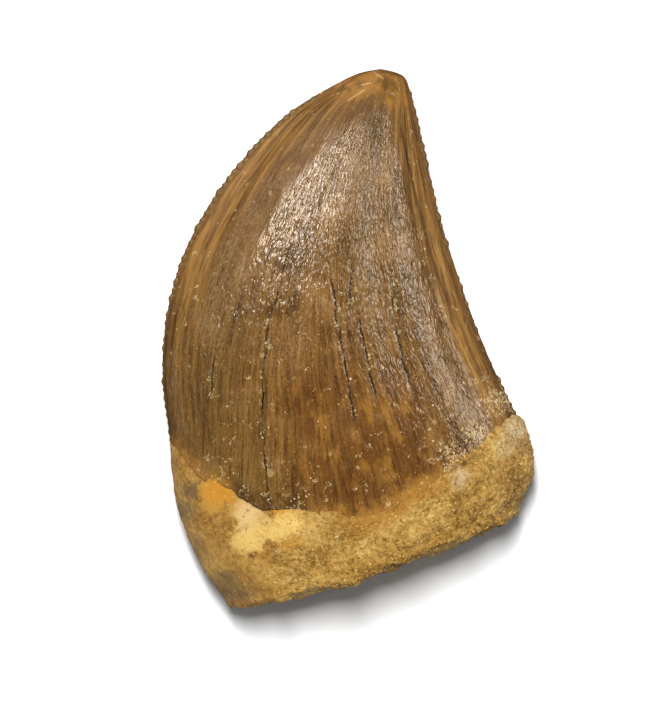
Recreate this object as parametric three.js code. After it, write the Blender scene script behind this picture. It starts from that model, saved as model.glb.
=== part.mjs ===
// A fossil carnosaur tooth: an enamel crown with two serrated cutting edges, on a broken, sandy root stub.
// It lies on its flatter, inner side, as a flat tooth does, with its outer side up and its tip towards +Y.
// Units are millimetres and +Z is up. The origin is under the middle of the tooth, on the surface it lies on.
//
// Two shares place a point on it. Along runs from the root (0) to the tip (1), and across runs from the
// convex front edge (0) to the hollow rear edge (1).

import * as THREE from 'three';

// The two edges seen from above, from the broken end of the root to the worn tip.
const FRONT_EDGE = [
  [-8.9, -19.5],
  [-10.9, -16.6],
  [-12.6, -12.2],
  [-13.2, -7.0],
  [-13.7, -2.6],
  [-13.3, 2.2],
  [-11.7, 7.2],
  [-8.8, 12.0],
  [-4.7, 16.4],
  [-1.2, 18.7],
  [0.8, 19.7],
  [2.5, 20.07],
];
const REAR_EDGE = [
  [12.4, -12.6],
  [13.5, -10.2],
  [13.3, -7.8],
  [12.4, -5.4],
  [10.1, -0.6],
  [8.1, 4.9],
  [6.8, 9.3],
  [5.9, 13.2],
  [5.2, 16.4],
  [4.7, 18.4],
  [4.15, 19.55],
  [2.5, 20.07],
];

// Thickness, from the plane of the two cutting edges to the outer and the inner side.
const OUTER_HEIGHT = { root: 7.0, tip: 1.1 };
const INNER_DEPTH = { root: 5.4, tip: 0.8 };
const TAPER = 0.95; // how bluntly both sides close towards the tip
const TIP_ROUND_FROM = 0.93; // share of the length where the worn tip rounds off

// How the tooth lies: its inner side is hollow along its length, so it touches at the root and near the tip.
const ARCH = 1.1; // rise of the inner side over the surface, half way along
const TOUCHING_AT = 0.9; // share of the length where it touches again
const WORN_FLAT = 0.4; // depth of the flat that is worn where it touches
const TIP_LIFT = 0.9; // height of the very tip over that flat

// The section is round at the root and comes to a cutting edge in the crown: a higher power is a sharper edge.
const EDGE_POWER = { root: 1.0, crownFront: 1.75, crownRear: 2.1 };
const INNER_EDGE_POWER = { root: 0.65, crown: 1.5 };
const SHARP_FROM = 0.65; // share of the length above which the section is that of the crown

// Where the section is thickest: under 1 is in front of the middle, and over 1 behind it.
const OUTER_SKEW = { root: 0.95, crown: 1.32 };
const SKEWED = { from: 0.3, to: 0.75 }; // shares of the length between which it passes from root to crown
const INNER_SKEW = 0.82;

// Long, shallow forms of the outer side: place across, half width across and height. The keel runs down from
// the tip where the section is thickest.
const KEEL = { width: 0.09, height: 0.4 };
const GROOVES = [
  { across: 0.72, width: 0.06, height: -0.22 }, // the furrow behind the keel
  { across: 0.905, width: 0.03, height: -0.22 }, // along the rear edge
  { across: 0.1, width: 0.04, height: -0.25 }, // along the front edge
];
const FORMS_FADE_IN = { from: 0.12, to: 0.4 }; // shares of the length
const FORMS_FADE_OUT = 0.12; // share of the length below the tip

// Drying cracks of the outer side, each at one place across, from and to shares of the length.
const CRACKS = [
  { across: 0.33, from: 0.1, to: 0.62 },
  { across: 0.555, from: 0.23, to: 0.57 },
  { across: 0.632, from: 0.26, to: 0.48 },
  { across: 0.75, from: 0.26, to: 0.56 },
];
const CRACK_DEPTH = 0.28;
const CRACK_HALF_WIDTH = 0.011; // share across
const CRACK_LEAN = { across: 0.3, reach: 0.3, perAlong: 0.35, around: 0.4, upTo: 0.25 };

// Denticles of the cutting edges.
const DENTICLE_HEIGHT = 0.17;
const DENTICLE_SHOULDERS = [0.3, 0.7]; // where a denticle stands out in full, between its two notches
const FRONT_DENTICLES = { count: 49, from: 0.25, to: 0.89 };
const REAR_DENTICLES = { count: 38, from: 0.2, to: 0.92 };

// Where the enamel ends above the root: shares across and along.
const ENAMEL_LINE = [
  [0, 0.25],
  [0.1, 0.2],
  [0.25, 0.14],
  [0.5, 0.08],
  [0.72, 0.118],
  [1, 0.19],
];
const ENAMEL_STEP = 0.01; // share of the length over which the surface steps from enamel to root

// The root stub, from its front to its rear: how far it stands out past the enamel, and its roughness.
const ROOT_STANDS = { front: -0.1, rear: 0.3 };
const ROOT_LUMPS = 0.4;
const PATCH = { across: 0.22, along: 0.11, width: 0.13, length: 0.06, depth: 0.45 }; // smooth, hollow dentine
// The broken end: how far it domes past its rim and how squarely, how far and how evenly the rim bows out,
// which way, and how rough it is.
const ROOT_END = {
  reach: 1.05,
  squareness: 4,
  bulge: 0.6,
  bulgeSkew: 0.85,
  direction: [0.31, -0.95],
  lumps: 0.5,
};
// Lumps of the broken root: their share of the roughness, how quickly they turn along X, Y and Z, and where
// they start along X and Y.
const LUMPS = [
  { share: 0.6, turns: [0.9, 1.1, 0.8], starts: [1.3, -0.4] },
  { share: 0.4, turns: [2.3, 2.9, 1.9], starts: [0, 0.6] },
];

// Fineness of the surface.
const CROWN_ROWS = 56;
const TIP_ROWS = 7;
const END_RINGS = 8;
const RING_SPACING = 1.4; // over 1, rings stand closer near the rim
const ROOT_ROWS = 12;
const ROOT_ROWS_TO = 0.2;
const EDGE_COLUMNS = [0.018, 0.045, 0.075];
const OUTER_SPANS = 16;
const INNER_COLUMNS = [0.02, 0.06, 0.13, 0.22, 0.31, 0.4, 0.5, 0.6, 0.69, 0.78, 0.87, 0.94, 0.98];

const lerp = THREE.MathUtils.lerp;
const smoothstep = THREE.MathUtils.smoothstep;

function edgeCurve(points) {
  return new THREE.SplineCurve(points.map(([x, y]) => new THREE.Vector2(x, y)));
}

const frontEdge = edgeCurve(FRONT_EDGE);
const rearEdge = edgeCurve(REAR_EDGE);

function hump(distance, width) {
  return Math.exp(-((distance / width) ** 2));
}

// Value at a place on a line of [place, value] points.
function onLine(line, place) {
  const next = Math.max(1, line.findIndex(([at]) => at >= place));
  const [from, low] = line[next - 1];
  const [to, high] = line[next];
  return lerp(low, high, smoothstep(place, from, to));
}

// Low lumps of the broken root, from -1 to 1, the same at the same place.
function lumps({ x, y, z }) {
  const waves = LUMPS.map(({ share, turns: [a, b, c], starts: [fromX, fromY] }) => {
    return share * Math.sin(a * x + fromX) * Math.sin(b * y + fromY) * Math.cos(c * z);
  });
  return waves[0] + waves[1];
}

// Cracks and columns in the front half lean away from the front edge towards the tip.
function leaning(column, along) {
  const { across, reach, perAlong, around, upTo } = CRACK_LEAN;
  const share = Math.max(0, 1 - Math.abs(column - across) / reach);
  return column + perAlong * Math.min(along - around, upTo) * Math.sin((Math.PI / 2) * share);
}

function thickness({ root, tip }, along) {
  const worn = Math.max(0, (along - TIP_ROUND_FROM) / (1 - TIP_ROUND_FROM));
  return lerp(tip, root, (1 - along ** 2) ** TAPER) * Math.sqrt(1 - worn ** 2);
}

// Height of the plane of the cutting edges over the surface that the tooth lies on.
function edgeLevel(along) {
  const arch = ARCH * Math.sin(Math.PI * Math.min(along / TOUCHING_AT, 1));
  const lift = TIP_LIFT * smoothstep(along, TOUCHING_AT, 1);
  return thickness(INNER_DEPTH, along) + arch + lift - WORN_FLAT;
}

// Height of one side over the edges as a share of its thickness, for a given sharpness of the edges.
function bow(across, power, skew) {
  const place = across ** skew;
  return (4 * place * (1 - place)) ** (power / 2);
}

function outerRise(across, along) {
  const crown = smoothstep(along, 0, SHARP_FROM);
  const crownPower = lerp(EDGE_POWER.crownFront, EDGE_POWER.crownRear, across);
  const power = lerp(EDGE_POWER.root, crownPower, crown);
  const skew = lerp(OUTER_SKEW.root, OUTER_SKEW.crown, smoothstep(along, SKEWED.from, SKEWED.to));
  const fadeIn = smoothstep(along, FORMS_FADE_IN.from, FORMS_FADE_IN.to);
  const strength = fadeIn * smoothstep(1 - along, 0, FORMS_FADE_OUT);
  const thickest = 0.5 ** (1 / skew);
  const keel = KEEL.height * hump(across - thickest, KEEL.width);
  const forms = GROOVES.reduce((sum, form) => sum + form.height * hump(across - form.across, form.width), keel);
  return thickness(OUTER_HEIGHT, along) * bow(across, power, skew) + strength * forms;
}

function innerRise(across, along) {
  const power = lerp(INNER_EDGE_POWER.root, INNER_EDGE_POWER.crown, smoothstep(along, 0, SHARP_FROM));
  return -thickness(INNER_DEPTH, along) * bow(across, power, INNER_SKEW);
}

function ribEnds(along) {
  return [frontEdge.getPointAt(along), rearEdge.getPointAt(along)];
}

function surfacePoint(across, along, rise) {
  const [front, rear] = ribEnds(along);
  const bulge = ROOT_END.bulge * Math.sin(Math.PI * across ** ROOT_END.bulgeSkew) * (1 - along) ** 2;
  const plan = front.lerp(rear, across).add(new THREE.Vector2(...ROOT_END.direction).multiplyScalar(bulge));
  return new THREE.Vector3(plan.x, plan.y, edgeLevel(along) + rise);
}

function rootShare(across, along) {
  return 1 - smoothstep(along - onLine(ENAMEL_LINE, across), -ENAMEL_STEP, ENAMEL_STEP);
}

// Sets the root back from or out past the enamel and roughens it. Nothing goes below the surface it lies on.
function weathered(point, across, along) {
  const middle = surfacePoint(0.5, along, 0);
  const outward = point.clone().sub(middle).normalize();
  const patch = hump(Math.hypot((across - PATCH.across) / PATCH.width, (along - PATCH.along) / PATCH.length), 1);
  const onOuterSide = point.z > middle.z ? patch : 0;
  const rough = ROOT_LUMPS * (1 - onOuterSide) * lumps(point) - PATCH.depth * onOuterSide;
  const stands = lerp(ROOT_STANDS.front, ROOT_STANDS.rear, across);
  point.addScaledVector(outward, rootShare(across, along) * (stands + rough));
  point.z = Math.max(point.z, 0);
  return point;
}

function outerPoint(column, along) {
  const across = leaning(column, along);
  const crack = CRACKS.find((one) => one.across === column && along > one.from && along < one.to);
  const point = surfacePoint(across, along, outerRise(across, along) - (crack ? CRACK_DEPTH : 0));
  return weathered(point, across, along);
}

function innerPoint(across, along) {
  return weathered(surfacePoint(across, along, innerRise(across, along)), across, along);
}

function edgePoint(across, along, standsOut) {
  const [front, rear] = ribEnds(along);
  const outward = (across === 0 ? front.sub(rear) : rear.sub(front)).normalize();
  const point = weathered(surfacePoint(across, along, 0), across, along);
  return point.add(new THREE.Vector3(outward.x, outward.y, 0).multiplyScalar(standsOut));
}

// Shares of the length at which the rows of points stand: closer at the root and where the tip rounds off.
function rowPlaces() {
  const between = (from, to, count) => Array.from({ length: count }, (_, i) => lerp(from, to, i / count));
  const tip = Array.from({ length: TIP_ROWS }, (_, i) =>
    lerp(TIP_ROUND_FROM, 1, Math.sin((i / TIP_ROWS) * (Math.PI / 2))),
  );
  return [...between(0, ROOT_ROWS_TO, ROOT_ROWS), ...between(ROOT_ROWS_TO, TIP_ROUND_FROM, CROWN_ROWS), ...tip];
}

// Points of the outer side across the tooth: close together at the edges, and three for each crack.
function outerColumns() {
  const cracks = CRACKS.flatMap(({ across }) => [across - CRACK_HALF_WIDTH, across, across + CRACK_HALF_WIDTH]);
  const [, , inset] = EDGE_COLUMNS;
  const even = Array.from({ length: OUTER_SPANS - 1 }, (_, i) => lerp(inset, 1 - inset, (i + 1) / OUTER_SPANS));
  const clear = even.filter((place) => cracks.every((crack) => Math.abs(place - crack) > CRACK_HALF_WIDTH));
  const rearEdgeColumns = EDGE_COLUMNS.map((place) => 1 - place);
  return [...EDGE_COLUMNS, ...rearEdgeColumns, ...cracks, ...clear].sort((a, b) => a - b);
}

// An edge has a point at each row where it is worn smooth, and three for each denticle: a notch, two shoulders.
function edgeLine(across, rows, { count, from, to }) {
  const worn = rows.filter((along) => along < from || along > to).map((along) => ({ along, standsOut: 0 }));
  const denticles = Array.from({ length: count }, (_, i) =>
    [0, ...DENTICLE_SHOULDERS].map((phase) => ({
      along: lerp(from, to, (i + phase) / count),
      standsOut: phase === 0 ? 0 : DENTICLE_HEIGHT,
    })),
  );
  return [...worn, ...denticles.flat()]
    .sort((a, b) => a.along - b.along)
    .map(({ along, standsOut }) => ({ along, point: edgePoint(across, along, standsOut) }));
}

// A closed surface that is put together from lines of points.
class Surface {
  constructor() {
    this.points = [];
    this.faces = [];
  }

  // Adds a line of points and gives it back with the number of each point.
  line(entries) {
    return entries.map((entry) => ({ ...entry, index: this.points.push(entry.point) - 1 }));
  }

  // Fills the strip between two lines that run the same way, always from the one that is further behind.
  strip(left, right) {
    let i = 0;
    let j = 0;
    while (i < left.length - 1 || j < right.length - 1) {
      const leftNext = left[i + 1]?.along ?? Infinity;
      const rightNext = right[j + 1]?.along ?? Infinity;
      if (leftNext <= rightNext) {
        this.faces.push(left[i].index, right[j].index, left[i + 1].index);
        i += 1;
      } else {
        this.faces.push(left[i].index, right[j].index, right[j + 1].index);
        j += 1;
      }
    }
  }

  // Closes an end over its rim with rings that shrink to a point.
  cap(rim, { reach, squareness, direction }, rings, finish) {
    const middle = rim.reduce((sum, { point }) => sum.add(point), new THREE.Vector3()).divideScalar(rim.length);
    const push = new THREE.Vector3(...direction, 0);
    let outer = rim;
    for (let ring = 1; ring <= rings; ring += 1) {
      const shrink = 1 - (ring / (rings + 1)) ** RING_SPACING;
      const advance = reach * (1 - shrink ** squareness) ** (1 / squareness);
      const inner = this.line(
        rim.map(({ point }) => ({
          point: finish(middle.clone().lerp(point, shrink).addScaledVector(push, advance)),
        })),
      );
      outer.forEach((entry, k) => {
        const next = (k + 1) % outer.length;
        this.faces.push(entry.index, outer[next].index, inner[k].index);
        this.faces.push(outer[next].index, inner[next].index, inner[k].index);
      });
      outer = inner;
    }
    this.close(outer, this.line([{ point: finish(middle.clone().addScaledVector(push, reach)) }]));
  }

  // Closes a rim with one point.
  close(rim, [end]) {
    rim.forEach((entry, k) => {
      this.faces.push(entry.index, rim[(k + 1) % rim.length].index, end.index);
    });
  }

  geometry() {
    const geometry = new THREE.BufferGeometry().setFromPoints(this.points);
    geometry.setIndex(this.faces);
    geometry.computeVertexNormals();
    return geometry;
  }
}

function roughEnd(point) {
  point.addScaledVector(new THREE.Vector3(...ROOT_END.direction, 0), ROOT_END.lumps * lumps(point));
  point.z = Math.max(point.z, 0);
  return point;
}

function toothGeometry() {
  const surface = new Surface();
  const rows = rowPlaces();
  const tip = surface.line([{ point: surfacePoint(0, 1, 0) }]);
  const lineOf = (pointAt, column) => surface.line(rows.map((along) => ({ along, point: pointAt(column, along) })));
  const front = surface.line(edgeLine(0, rows, FRONT_DENTICLES));
  const rear = surface.line(edgeLine(1, rows, REAR_DENTICLES));
  const outer = outerColumns().map((column) => lineOf(outerPoint, column));
  const inner = INNER_COLUMNS.toReversed().map((column) => lineOf(innerPoint, column));
  const around = [front, ...outer, rear, ...inner];
  around.forEach((line, k) => surface.strip(line, around[(k + 1) % around.length]));
  surface.close(around.map((line) => line.at(-1)), tip);
  surface.cap(around.map((line) => line[0]).toReversed(), ROOT_END, END_RINGS, roughEnd);
  return surface.geometry();
}

// Puts the origin under the middle of the box around the tooth.
function centred(geometry) {
  geometry.computeBoundingBox();
  const middle = geometry.boundingBox.getCenter(new THREE.Vector3());
  return geometry.translate(-middle.x, -middle.y, -geometry.boundingBox.min.z);
}

const fossil = new THREE.MeshStandardMaterial({ color: 0x8f6839, roughness: 0.45, metalness: 0 });
const tooth = new THREE.Mesh(centred(toothGeometry()), fossil);
tooth.name = 'tooth';

const part = new THREE.Group();
part.add(tooth);

export default part;
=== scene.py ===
# A fossil carnosaur tooth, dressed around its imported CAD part: an enamel crown, a broken sandy root, the
# denticles of both cutting edges, loose grains and flakes of lime. Sizes are millimetres unless noted.
import itertools
import math

import bpy
import numpy as np
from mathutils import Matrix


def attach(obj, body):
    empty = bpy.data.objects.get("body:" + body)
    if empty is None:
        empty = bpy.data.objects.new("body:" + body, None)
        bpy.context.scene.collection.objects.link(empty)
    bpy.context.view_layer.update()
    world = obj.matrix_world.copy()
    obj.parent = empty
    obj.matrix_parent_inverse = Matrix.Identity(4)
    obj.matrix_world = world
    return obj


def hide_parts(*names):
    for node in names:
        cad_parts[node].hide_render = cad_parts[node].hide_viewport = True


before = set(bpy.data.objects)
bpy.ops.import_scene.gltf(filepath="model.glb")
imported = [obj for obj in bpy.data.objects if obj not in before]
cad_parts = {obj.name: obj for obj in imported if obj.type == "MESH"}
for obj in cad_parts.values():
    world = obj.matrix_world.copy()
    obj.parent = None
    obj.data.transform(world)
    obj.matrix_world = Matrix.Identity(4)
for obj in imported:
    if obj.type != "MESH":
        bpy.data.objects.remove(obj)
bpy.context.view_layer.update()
scene = bpy.context.scene
millimetre = 0.001

# Camera, straight above the tooth with the tip towards the top of the picture

cameraSetup = {
    "over": (-1.03, -1.03, 5.5),  # the point at the middle of the picture
    "distance": 1000.0,
    "viewHeight": 52.1,  # what is seen from top to bottom at that point
    "sensor": 36.0,
}


def makeCamera(setup):
    data = bpy.data.cameras.new("photoCamera")
    data.sensor_width = setup["sensor"]
    data.lens = setup["sensor"] * setup["distance"] / setup["viewHeight"]
    data.clip_end = 10.0
    camera = bpy.data.objects.new("photoCamera", data)
    x, y, z = setup["over"]
    camera.location = (x * millimetre, y * millimetre, (z + setup["distance"]) * millimetre)
    scene.collection.objects.link(camera)
    scene.camera = camera


# Studio: a pale floor, broad soft light from overhead, and two warm softboxes that show only in the gloss of
# the enamel

studio = {
    "floorHalf": 900.0,
    "floorColour": (0.9, 0.9, 0.9, 1.0),
    "floorRoughness": 0.9,
    "floorSpecular": 0.1,
    "surround": 0.2,  # strength of the light from all round
    "surroundColour": (0.8, 0.91, 1.0, 1.0),
    "glossColour": (1.0, 0.88, 0.74),
    "lights": {
        "overheadLight": {"at": (-30.0, 160.0, 700.0), "size": (90.0, 240.0), "watts": 7.9, "soft": True},
        "keyLight": {"at": (-325.0, 575.0, 235.0), "size": (210.0, 330.0), "watts": 3.7, "soft": False},
        "rightLight": {"at": (565.0, 365.0, 195.0), "size": (220.0, 280.0), "watts": 1.2, "soft": False},
    },
}


def makeFloor(setup):
    half = setup["floorHalf"] * millimetre
    mesh = bpy.data.meshes.new("floor")
    corners = [(-half, -half, 0), (half, -half, 0), (half, half, 0), (-half, half, 0)]
    mesh.from_pydata(corners, [], [(0, 1, 2, 3)])
    floor = bpy.data.objects.new("floor", mesh)
    scene.collection.objects.link(floor)
    paper = bpy.data.materials.new("palePaper")
    paper.use_nodes = True
    shader = paper.node_tree.nodes["Principled BSDF"]
    shader.inputs["Base Color"].default_value = setup["floorColour"]
    shader.inputs["Roughness"].default_value = setup["floorRoughness"]
    shader.inputs["Specular IOR Level"].default_value = setup["floorSpecular"]
    mesh.materials.append(paper)
    floor.visible_glossy = False


def makeLights(setup):
    # Soft light shades the tooth and throws its shadow. The other lights are only seen in its gloss.
    for name, light in setup["lights"].items():
        data = bpy.data.lights.new(name, "AREA")
        data.shape = "RECTANGLE"
        data.size, data.size_y = (side * millimetre for side in light["size"])
        data.energy = light["watts"]
        data.use_shadow = light["soft"]
        data.color = (1.0, 1.0, 1.0) if light["soft"] else setup["glossColour"]
        lamp = bpy.data.objects.new(name, data)
        lamp.location = [value * millimetre for value in light["at"]]
        lamp.rotation_euler = lamp.location.to_track_quat("Z", "Y").to_euler()
        lamp.visible_diffuse = light["soft"]
        lamp.visible_glossy = not light["soft"]
        scene.collection.objects.link(lamp)


def makeSurround(setup):
    world = bpy.data.worlds.new("softRoom")
    scene.world = world
    world.use_nodes = True
    world.node_tree.nodes["Background"].inputs["Strength"].default_value = setup["surround"]
    world.node_tree.nodes["Background"].inputs["Color"].default_value = setup["surroundColour"]
    world.cycles_visibility.glossy = False
    scene.view_settings.view_transform = "Standard"


makeCamera(cameraSetup)
makeFloor(studio)
makeLights(studio)
makeSurround(studio)
print("studio and camera ready")


# Numbers that vary smoothly from place to place

def mix(low, high, share):
    return low + (high - low) * share


def smooth(value, low, high):
    share = np.clip((value - low) / (high - low), 0.0, 1.0)
    return share * share * (3.0 - 2.0 * share)


def hump(distance, width):
    return np.exp(-((distance / width) ** 2))


def cellValue(cell, seed):
    # A fixed value from -1 to 1 for each cell of a lattice
    x, y, z = (cell[..., axis].astype(np.uint64) for axis in range(3))
    mixed = x * np.uint64(73856093) ^ y * np.uint64(19349663) ^ z * np.uint64(83492791)
    mixed = mixed ^ np.uint64(seed * 7919)
    for turn in (np.uint64(0x9E3779B97F4A7C15), np.uint64(0xBF58476D1CE4E5B9)):
        mixed = (mixed ^ (mixed >> np.uint64(29))) * turn
    return (mixed >> np.uint64(40)).astype(float) / float(1 << 23) - 1.0


def unevenness(places, size, seed):
    # Smooth and random from -1 to 1, with lumps of the given size
    cell = places / size + 4096.0
    base = np.floor(cell).astype(np.int64)
    part = cell - base
    part = part * part * part * (part * (part * 6.0 - 15.0) + 10.0)
    value = np.zeros(places.shape[:-1])
    for corner in itertools.product((0, 1), repeat=3):
        weight = np.prod(np.where(corner, part, 1.0 - part), axis=-1)
        value += weight * cellValue(base + np.array(corner), seed)
    return value


def layered(places, size, seed, layers=3, fade=0.55):
    steps = [(unevenness(places, size / 2 ** step, seed + step), fade ** step) for step in range(layers)]
    return sum(value * weight for value, weight in steps) / sum(weight for _, weight in steps)


# The plain form, the same as the CAD part's. Along goes from the root (0) to the tip (1) and across from the
# front edge (0) to the rear edge (1).

toothForm = {
    "frontEdge": [
        (-8.9, -19.5), (-10.9, -16.6), (-12.6, -12.2), (-13.2, -7.0), (-13.7, -2.6), (-13.3, 2.2),
        (-11.7, 7.2), (-8.8, 12.0), (-4.7, 16.4), (-1.2, 18.7), (0.8, 19.7), (2.5, 20.07),
    ],
    "rearEdge": [
        (12.4, -12.6), (13.5, -10.2), (13.3, -7.8), (12.4, -5.4), (10.1, -0.6), (8.1, 4.9),
        (6.8, 9.3), (5.9, 13.2), (5.2, 16.4), (4.7, 18.4), (4.15, 19.55), (2.5, 20.07),
    ],
    "toOrigin": (0.057, -0.0425),  # puts the origin under the middle of the tooth
    "outerHeight": {"root": 7.0, "tip": 1.1},
    "innerDepth": {"root": 5.4, "tip": 0.8},
    "taper": 0.95,
    "tipRoundFrom": 0.93,
    "arch": 1.1,
    "touchingAt": 0.9,
    "wornFlat": 0.4,
    "tipLift": 0.9,
    "edgePower": {"root": 1.0, "crownFront": 1.75, "crownRear": 2.1},
    "innerEdgePower": {"root": 0.65, "crown": 1.5},
    "sharpFrom": 0.65,
    "outerSkew": {"root": 0.95, "crown": 1.32},  # over 1, the thickest place lies behind the middle
    "skewed": (0.3, 0.75),
    "innerSkew": 0.82,
    "keel": {"width": 0.09, "height": 0.4},
    "grooves": [(0.72, 0.06, -0.22), (0.905, 0.03, -0.22), (0.1, 0.04, -0.25)],  # across, width and height
    "formsFadeIn": (0.12, 0.4),
    "formsFadeOut": 0.12,
    "lean": {"across": 0.3, "reach": 0.3, "perAlong": 0.35, "around": 0.4, "upTo": 0.25},
    "enamelLine": [(0, 0.25), (0.1, 0.2), (0.25, 0.14), (0.5, 0.08), (0.72, 0.118), (1, 0.19)],
    "meanWidth": 24.0,
    "meanLength": 36.0,
}


def evenCurve(points):
    # Points along a smooth curve through the given ones, with each one's share of the length
    points = np.array(points, float)
    last = len(points) - 1
    steps = np.linspace(0.0, last, 4001)
    span = np.minimum(steps.astype(int), last - 1)
    part = (steps - span)[:, None]
    before, start = points[np.maximum(span - 1, 0)], points[span]
    end, after = points[span + 1], points[np.minimum(span + 2, last)]
    leaving, arriving = (end - before) / 2, (after - start) / 2
    line = start + leaving * part
    line += (3 * (end - start) - 2 * leaving - arriving) * part ** 2
    line += (2 * (start - end) + leaving + arriving) * part ** 3
    length = np.concatenate([[0.0], np.cumsum(np.linalg.norm(np.diff(line, axis=0), axis=1))])
    return length / length[-1], line


edgeCurves = {name: evenCurve(toothForm[name]) for name in ("frontEdge", "rearEdge")}


def onEdge(name, along):
    shares, line = edgeCurves[name]
    return np.stack([np.interp(along, shares, line[:, axis]) for axis in range(2)], -1)


def onLine(line, place):
    # Value at a place on a line of (place, value) points, eased between them
    places, values = np.array(line, float).T
    step = np.clip(np.searchsorted(places, place), 1, len(places) - 1)
    return mix(values[step - 1], values[step], smooth(place, places[step - 1], places[step]))


def thickness(side, along):
    start = toothForm["tipRoundFrom"]
    worn = np.clip((along - start) / (1.0 - start), 0.0, 1.0)
    full = np.clip(1.0 - along ** 2, 0.0, 1.0) ** toothForm["taper"]
    return mix(side["tip"], side["root"], full) * np.sqrt(1.0 - worn ** 2)


def edgeLevel(along):
    touching = toothForm["touchingAt"]
    arch = toothForm["arch"] * np.sin(math.pi * np.minimum(along / touching, 1.0))
    lift = toothForm["tipLift"] * smooth(along, touching, 1.0)
    return thickness(toothForm["innerDepth"], along) + arch + lift - toothForm["wornFlat"]


def bow(across, power, skew):
    place = across ** skew
    return np.clip(4.0 * place * (1.0 - place), 0.0, 1.0) ** (power / 2.0)


def outerRise(across, along):
    powers = toothForm["edgePower"]
    crown = smooth(along, 0.0, toothForm["sharpFrom"])
    power = mix(powers["root"], mix(powers["crownFront"], powers["crownRear"], across), crown)
    strength = smooth(along, *toothForm["formsFadeIn"]) * smooth(1.0 - along, 0.0, toothForm["formsFadeOut"])
    skews = toothForm["outerSkew"]
    skew = mix(skews["root"], skews["crown"], smooth(along, *toothForm["skewed"]))
    keel = toothForm["keel"]["height"] * hump(across - 0.5 ** (1.0 / skew), toothForm["keel"]["width"])
    grooves = sum(height * hump(across - place, width) for place, width, height in toothForm["grooves"])
    full = thickness(toothForm["outerHeight"], along)
    return full * bow(across, power, skew) + strength * (keel + grooves)


def innerRise(across, along):
    powers = toothForm["innerEdgePower"]
    power = mix(powers["root"], powers["crown"], smooth(along, 0.0, toothForm["sharpFrom"]))
    return -thickness(toothForm["innerDepth"], along) * bow(across, power, toothForm["innerSkew"])


rootForm = {
    "stands": {"front": 0.08, "rear": 0.3},  # past the enamel
    "lumps": 0.4,
    "end": {"reach": 1.05, "squareness": 4, "bulge": 0.6, "direction": (0.31, -0.95), "lumps": 0.5},
    "bulgeSkew": 0.85,
    # share, turns and starts
    "waves": [(0.6, (0.9, 1.1, 0.8), (1.3, -0.4)), (0.4, (2.3, 2.9, 1.9), (0.0, 0.6))],
    "ringSpacing": 1.4,
    "overlap": 0.045,  # how far the sand can run up over the enamel, as a share of the length
    "sink": 0.9,  # how deep the top of the root lies inside the crown
}


def lumps(places):
    x, y, z = (places[..., axis] for axis in range(3))
    return sum(share * np.sin(a * x + fromX) * np.sin(b * y + fromY) * np.cos(c * z)
               for share, (a, b, c), (fromX, fromY) in rootForm["waves"])


def plainPoint(across, along, rise):
    plan = mix(onEdge("frontEdge", along), onEdge("rearEdge", along), across[..., None])
    end = rootForm["end"]
    bulge = end["bulge"] * np.sin(math.pi * across ** rootForm["bulgeSkew"]) * (1.0 - along) ** 2
    plan = plan + bulge[..., None] * np.array(end["direction"])
    return np.concatenate([plan, (edgeLevel(along) + rise)[..., None]], -1)


def leaning(column, along):
    lean = toothForm["lean"]
    share = np.maximum(0.0, 1.0 - np.abs(column - lean["across"]) / lean["reach"])
    shift = np.minimum(along - lean["around"], lean["upTo"]) * np.sin(math.pi / 2 * share)
    return column + lean["perAlong"] * shift


def loopColumns(outerCount, innerCount):
    # Columns of points round the tooth: over the outer side, then back over the inner side
    def spread(count):
        even = np.linspace(0.0, 1.0, count + 1)
        return mix(even, (1.0 - np.cos(math.pi * even)) / 2.0, 0.5)
    outer, inner = spread(outerCount), 1.0 - spread(innerCount)[1:-1]
    columns = np.concatenate([outer, inner])
    isOuter = np.arange(len(columns)) <= outerCount
    around = np.where(isOuter, columns, 2.0 - columns)
    return columns, isOuter, around


def sides(columns, isOuter, along):
    # Points of the plain form on a grid of rows and columns, and where each lies across
    across = np.where(isOuter, leaning(columns, along), columns)
    rise = np.where(isOuter, outerRise(across, along), innerRise(across, along))
    return plainPoint(across, along, rise), across


def gridNormals(points):
    # Outward directions on rows of points that each run round the tooth
    rows = np.gradient(points, axis=0)
    columns = np.roll(points, -1, axis=1) - np.roll(points, 1, axis=1)
    normals = np.cross(columns, rows)
    length = np.linalg.norm(normals, axis=-1, keepdims=True)
    normals = normals / np.maximum(length, 1e-9)
    outward = points - points.mean(axis=1, keepdims=True)
    return normals * np.sign((normals * outward).sum())


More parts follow.
